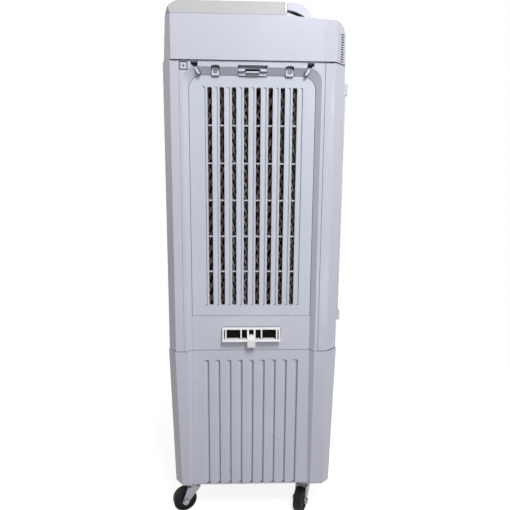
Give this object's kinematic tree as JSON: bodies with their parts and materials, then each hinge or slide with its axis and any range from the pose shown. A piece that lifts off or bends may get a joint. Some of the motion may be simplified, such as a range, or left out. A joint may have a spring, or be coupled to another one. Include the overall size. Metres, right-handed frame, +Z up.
{
  "type": "evaporative cooler",
  "caption": "Tall portable evaporative cooler with side and rear pad panels, fluted water tank, louvred air outlet, hinged ice lid, control hood and swivel castors.",
  "frame": {"origin": "on the floor under the middle of the side panels", "axes": "+X towards the air outlet, +Y towards the left side of the cooler, +Z up"},
  "size_m": [0.4311, 0.629, 1.23],
  "materials": {
    "body_plastic": "semi-gloss moulded plastic",
    "lid_plastic": "semi-gloss moulded plastic",
    "frame_plastic": "semi-gloss moulded plastic",
    "cellulose": "corrugated resin-treated paper",
    "steel": "plated",
    "white_plastic": "glossy moulded plastic",
    "dark_plastic": "fine texture",
    "outlet_plastic": "semi-gloss moulded plastic",
    "fan_plastic": "moulded plastic",
    "motor_paint": "baked enamel",
    "zinc": "bright zinc plate",
    "wheel_black": "hard tread"
  },
  "bodies": {
    "cooler_body": {"water_tank": "body_plastic", "front_housing": "body_plastic", "rear_housing": "body_plastic", "side_panel_right": "body_plastic", "side_panel_left": "body_plastic", "top_housing": "body_plastic", "ice_tray": "white_plastic", "control_panel": "white_plastic", "outlet_bezel": "outlet_plastic", "fan_shroud": "fan_plastic", "motor_bracket": "fan_plastic", "fan_motor": "motor_paint", "water_distributor": "dark_plastic", "pump": "dark_plastic", "riser_tube": "fan_plastic", "float_valve": "fan_plastic", "cord_gland": "dark_plastic", "castor_plates": "zinc"},
    "pad_unit_right": {"pad_frame_right": "frame_plastic", "cooling_pad_right": "cellulose", "frame_screws_right": "steel"},
    "catch_right": {"frame_catch_right": "frame_plastic"},
    "pad_unit_left": {"pad_frame_left": "frame_plastic", "cooling_pad_left": "cellulose", "frame_screws_left": "steel"},
    "catch_left": {"frame_catch_left": "frame_plastic"},
    "pad_unit_rear": {"pad_frame_rear": "frame_plastic", "cooling_pad_rear": "cellulose", "frame_screws_rear": "steel"},
    "catch_rear": {"frame_catch_rear": "frame_plastic"},
    "lid": {"top_lid": "lid_plastic"},
    "hood": {"control_hood": "body_plastic"},
    "speed_dial": {"speed_knob": "dark_plastic"},
    "timer_dial": {"timer_knob": "dark_plastic"},
    "swing_key": {"swing_button": "dark_plastic"},
    "pump_key": {"pump_button": "dark_plastic"},
    "louver_1_blade": {"louver_1": "outlet_plastic"},
    "louver_2_blade": {"louver_2": "outlet_plastic"},
    "louver_3_blade": {"louver_3": "outlet_plastic"},
    "louver_4_blade": {"louver_4": "outlet_plastic"},
    "louver_5_blade": {"louver_5": "outlet_plastic"},
    "louver_6_blade": {"louver_6": "outlet_plastic"},
    "louver_bar": {"louver_link": "outlet_plastic"},
    "vane_1_blade": {"vane_1": "outlet_plastic"},
    "vane_2_blade": {"vane_2": "outlet_plastic"},
    "vane_3_blade": {"vane_3": "outlet_plastic"},
    "vane_4_blade": {"vane_4": "outlet_plastic"},
    "vane_bar": {"vane_link": "outlet_plastic"},
    "fan": {"fan_blades": "fan_plastic"},
    "float": {"float_arm": "fan_plastic"},
    "drawer": {"fill_drawer": "white_plastic"},
    "drain": {"drain_cap": "dark_plastic"},
    "castor_rear_right": {"castor_fork_rear_right": "zinc"},
    "wheel_rear_right": {"castor_wheel_rear_right": "wheel_black"},
    "castor_rear_left": {"castor_fork_rear_left": "zinc"},
    "wheel_rear_left": {"castor_wheel_rear_left": "wheel_black"},
    "castor_front_right": {"castor_fork_front_right": "zinc"},
    "wheel_front_right": {"castor_wheel_front_right": "wheel_black"},
    "castor_front_left": {"castor_fork_front_left": "zinc"},
    "wheel_front_left": {"castor_wheel_front_left": "wheel_black"}
  },
  "joints": [
    {"name": "pad_pull_right", "type": "slide", "parent": "cooler_body", "child": "pad_unit_right", "axis": [0, -1, 0], "range_m": [0, 0.12]},
    {"name": "catch_press_right", "type": "slide", "parent": "pad_unit_right", "child": "catch_right", "axis": [0, 0, -1], "range_m": [0, 0.005], "stiffness_N_per_m": 200},
    {"name": "pad_pull_left", "type": "slide", "parent": "cooler_body", "child": "pad_unit_left", "axis": [0, 1, 0], "range_m": [0, 0.12]},
    {"name": "catch_press_left", "type": "slide", "parent": "pad_unit_left", "child": "catch_left", "axis": [0, 0, -1], "range_m": [0, 0.005], "stiffness_N_per_m": 200},
    {"name": "pad_pull_rear", "type": "slide", "parent": "cooler_body", "child": "pad_unit_rear", "axis": [-1, 0, 0], "range_m": [0, 0.12]},
    {"name": "catch_press_rear", "type": "slide", "parent": "pad_unit_rear", "child": "catch_rear", "axis": [0, 0, -1], "range_m": [0, 0.005], "stiffness_N_per_m": 200},
    {"name": "lid_hinge", "type": "hinge", "parent": "cooler_body", "child": "lid", "pos_m": [-0.1856, 0, 1.208], "axis": [0, -1, 0], "range_deg": [0, 100]},
    {"name": "hood_hinge", "type": "hinge", "parent": "cooler_body", "child": "hood", "pos_m": [0.077, 0, 1.226], "axis": [0, -1, 0], "range_deg": [0, 95]},
    {"name": "speed_turn", "type": "hinge", "parent": "cooler_body", "child": "speed_dial", "pos_m": [0.0945, -0.09, 1.20662], "axis": [0.3584, 0, 0.9336], "range_deg": [0, 270]},
    {"name": "timer_turn", "type": "hinge", "parent": "cooler_body", "child": "timer_dial", "pos_m": [0.0945, 0.09, 1.20662], "axis": [0.3584, 0, 0.9336], "range_deg": [0, 270]},
    {"name": "swing_press", "type": "slide", "parent": "cooler_body", "child": "swing_key", "axis": [-0.3584, 0, -0.9336], "range_m": [0, 0.003], "stiffness_N_per_m": 300},
    {"name": "pump_press", "type": "slide", "parent": "cooler_body", "child": "pump_key", "axis": [-0.3584, 0, -0.9336], "range_m": [0, 0.003], "stiffness_N_per_m": 300},
    {"name": "louver_1_tilt", "type": "hinge", "parent": "cooler_body", "child": "louver_1_blade", "pos_m": [0.1835, 0, 0.5824], "axis": [0, 1, 0], "range_deg": [-35, 35]},
    {"name": "louver_2_tilt", "type": "hinge", "parent": "cooler_body", "child": "louver_2_blade", "pos_m": [0.1835, 0, 0.6674], "axis": [0, 1, 0], "range_deg": [-35, 35]},
    {"name": "louver_3_tilt", "type": "hinge", "parent": "cooler_body", "child": "louver_3_blade", "pos_m": [0.1835, 0, 0.7524], "axis": [0, 1, 0], "range_deg": [-35, 35]},
    {"name": "louver_4_tilt", "type": "hinge", "parent": "cooler_body", "child": "louver_4_blade", "pos_m": [0.1835, 0, 0.8374], "axis": [0, 1, 0], "range_deg": [-35, 35]},
    {"name": "louver_5_tilt", "type": "hinge", "parent": "cooler_body", "child": "louver_5_blade", "pos_m": [0.1835, 0, 0.9224], "axis": [0, 1, 0], "range_deg": [-35, 35]},
    {"name": "louver_6_tilt", "type": "hinge", "parent": "cooler_body", "child": "louver_6_blade", "pos_m": [0.1835, 0, 1.0074], "axis": [0, 1, 0], "range_deg": [-35, 35]},
    {"name": "louver_bar_pin", "type": "hinge", "parent": "louver_1_blade", "child": "louver_bar", "pos_m": [0.1675, 0, 0.5824], "axis": [0, 1, 0], "range_deg": [-35, 35]},
    {"name": "vane_1_swing", "type": "hinge", "parent": "cooler_body", "child": "vane_1_blade", "pos_m": [0.1405, -0.15, 0.7949], "axis": [0, 0, 1], "range_deg": [-30, 30]},
    {"name": "vane_2_swing", "type": "hinge", "parent": "cooler_body", "child": "vane_2_blade", "pos_m": [0.1405, -0.05, 0.7949], "axis": [0, 0, 1], "range_deg": [-30, 30]},
    {"name": "vane_3_swing", "type": "hinge", "parent": "cooler_body", "child": "vane_3_blade", "pos_m": [0.1405, 0.05, 0.7949], "axis": [0, 0, 1], "range_deg": [-30, 30]},
    {"name": "vane_4_swing", "type": "hinge", "parent": "cooler_body", "child": "vane_4_blade", "pos_m": [0.1405, 0.15, 0.7949], "axis": [0, 0, 1], "range_deg": [-30, 30]},
    {"name": "vane_bar_pin", "type": "hinge", "parent": "vane_1_blade", "child": "vane_bar", "pos_m": [0.1305, -0.15, 0.5439], "axis": [0, 0, 1], "range_deg": [-30, 30]},
    {"name": "fan_spin", "type": "hinge", "parent": "cooler_body", "child": "fan", "pos_m": [0.0961, 0, 0.7949], "axis": [1, 0, 0], "continuous": true},
    {"name": "float_swing", "type": "hinge", "parent": "cooler_body", "child": "float", "pos_m": [-0.16025, -0.1, 0.4], "axis": [0, -1, 0], "range_deg": [0, 40]},
    {"name": "drawer_pull", "type": "slide", "parent": "cooler_body", "child": "drawer", "axis": [0, -1, 0], "range_m": [0, 0.03]},
    {"name": "drain_pull", "type": "slide", "parent": "cooler_body", "child": "drain", "axis": [-1, 0, 0], "range_m": [0, 0.03]},
    {"name": "swivel_rear_right", "type": "hinge", "parent": "cooler_body", "child": "castor_rear_right", "pos_m": [-0.151, -0.256, 0.066], "axis": [0, 0, 1], "continuous": true},
    {"name": "roll_rear_right", "type": "hinge", "parent": "castor_rear_right", "child": "wheel_rear_right", "pos_m": [-0.17167, -0.26352, 0.03], "axis": [-0.342, 0.9397, 0], "continuous": true},
    {"name": "swivel_rear_left", "type": "hinge", "parent": "cooler_body", "child": "castor_rear_left", "pos_m": [-0.151, 0.256, 0.066], "axis": [0, 0, 1], "continuous": true},
    {"name": "roll_rear_left", "type": "hinge", "parent": "castor_rear_left", "child": "wheel_rear_left", "pos_m": [-0.17167, 0.26352, 0.03], "axis": [0.342, 0.9397, 0], "continuous": true},
    {"name": "swivel_front_right", "type": "hinge", "parent": "cooler_body", "child": "castor_front_right", "pos_m": [0.142, -0.256, 0.066], "axis": [0, 0, 1], "continuous": true},
    {"name": "roll_front_right", "type": "hinge", "parent": "castor_front_right", "child": "wheel_front_right", "pos_m": [0.13201, -0.2756, 0.03], "axis": [-0.891, 0.454, 0], "continuous": true},
    {"name": "swivel_front_left", "type": "hinge", "parent": "cooler_body", "child": "castor_front_left", "pos_m": [0.142, 0.256, 0.066], "axis": [0, 0, 1], "continuous": true},
    {"name": "roll_front_left", "type": "hinge", "parent": "castor_front_left", "child": "wheel_front_left", "pos_m": [0.13201, 0.2364, 0.03], "axis": [-0.891, 0.454, 0], "continuous": true}
  ],
  "couplings": [
    {"joint": "louver_2_tilt", "follows": "louver_1_tilt", "ratio": 1},
    {"joint": "louver_3_tilt", "follows": "louver_1_tilt", "ratio": 1},
    {"joint": "louver_4_tilt", "follows": "louver_1_tilt", "ratio": 1},
    {"joint": "louver_5_tilt", "follows": "louver_1_tilt", "ratio": 1},
    {"joint": "louver_6_tilt", "follows": "louver_1_tilt", "ratio": 1},
    {"joint": "louver_bar_pin", "follows": "louver_1_tilt", "ratio": -1},
    {"joint": "vane_2_swing", "follows": "vane_1_swing", "ratio": 1},
    {"joint": "vane_3_swing", "follows": "vane_1_swing", "ratio": 1},
    {"joint": "vane_4_swing", "follows": "vane_1_swing", "ratio": 1},
    {"joint": "vane_bar_pin", "follows": "vane_1_swing", "ratio": -1}
  ]
}
